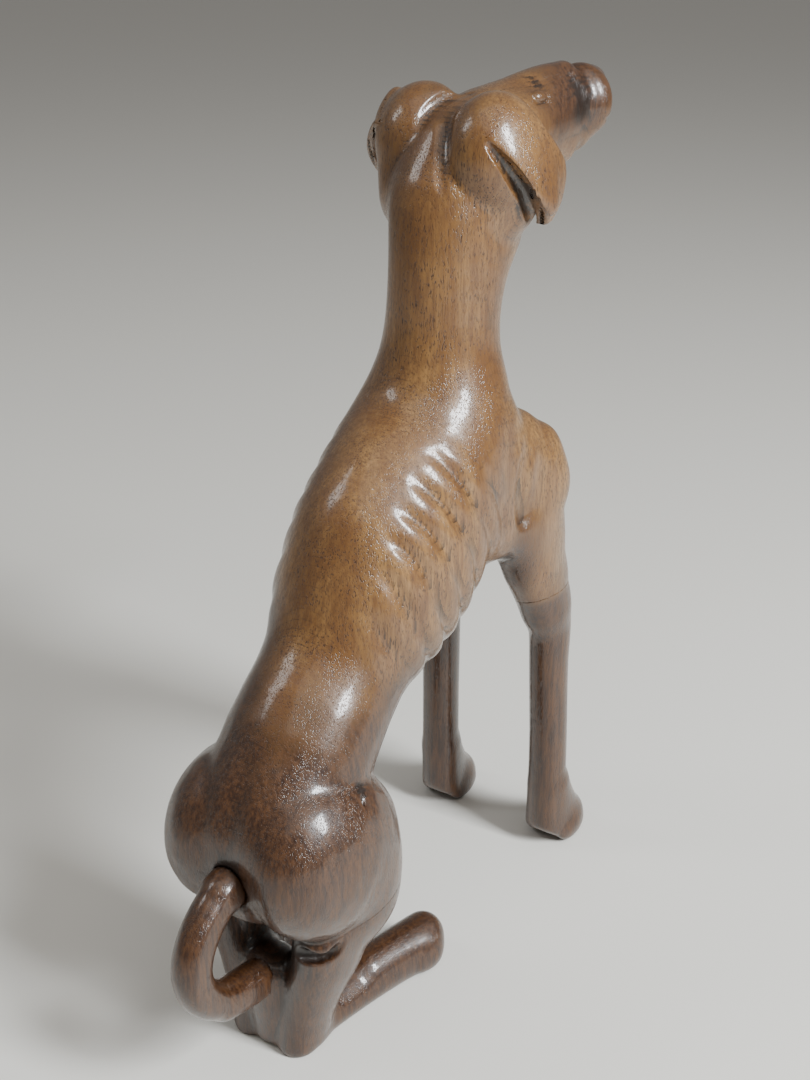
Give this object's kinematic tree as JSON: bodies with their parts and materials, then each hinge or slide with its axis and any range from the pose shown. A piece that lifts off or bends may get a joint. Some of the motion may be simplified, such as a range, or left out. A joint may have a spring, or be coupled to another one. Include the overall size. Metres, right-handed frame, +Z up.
{
  "type": "carved seated hound statue",
  "caption": "Lean seated hound carved in varnished hardwood, head turned slightly right, ears folded down, tail curled under to the heels.",
  "frame": {"origin": "on the floor under the middle of the statue's box", "axes": "+Z up, the hound faces -Y, its right side is -X"},
  "size_m": [0.096, 0.2974, 0.3947],
  "materials": {
    "carved_hardwood": "glossy varnish over golden brown hardwood with upright grain and short dark pores",
    "dark_hardwood": "glossy varnish over dark reddish brown hardwood",
    "dowel_wood": "plain planed beech, unvarnished"
  },
  "bodies": {
    "root": {"body": "carved_hardwood", "left_ear": "carved_hardwood", "right_ear": "carved_hardwood", "left_foreleg": "dark_hardwood", "right_foreleg": "dark_hardwood", "hind_legs": "dark_hardwood", "tail": "dark_hardwood", "left_elbow_dowel": "dowel_wood", "right_elbow_dowel": "dowel_wood", "left_stifle_dowel": "dowel_wood", "right_stifle_dowel": "dowel_wood", "tail_dowel": "dowel_wood"}
  },
  "joints": []
}
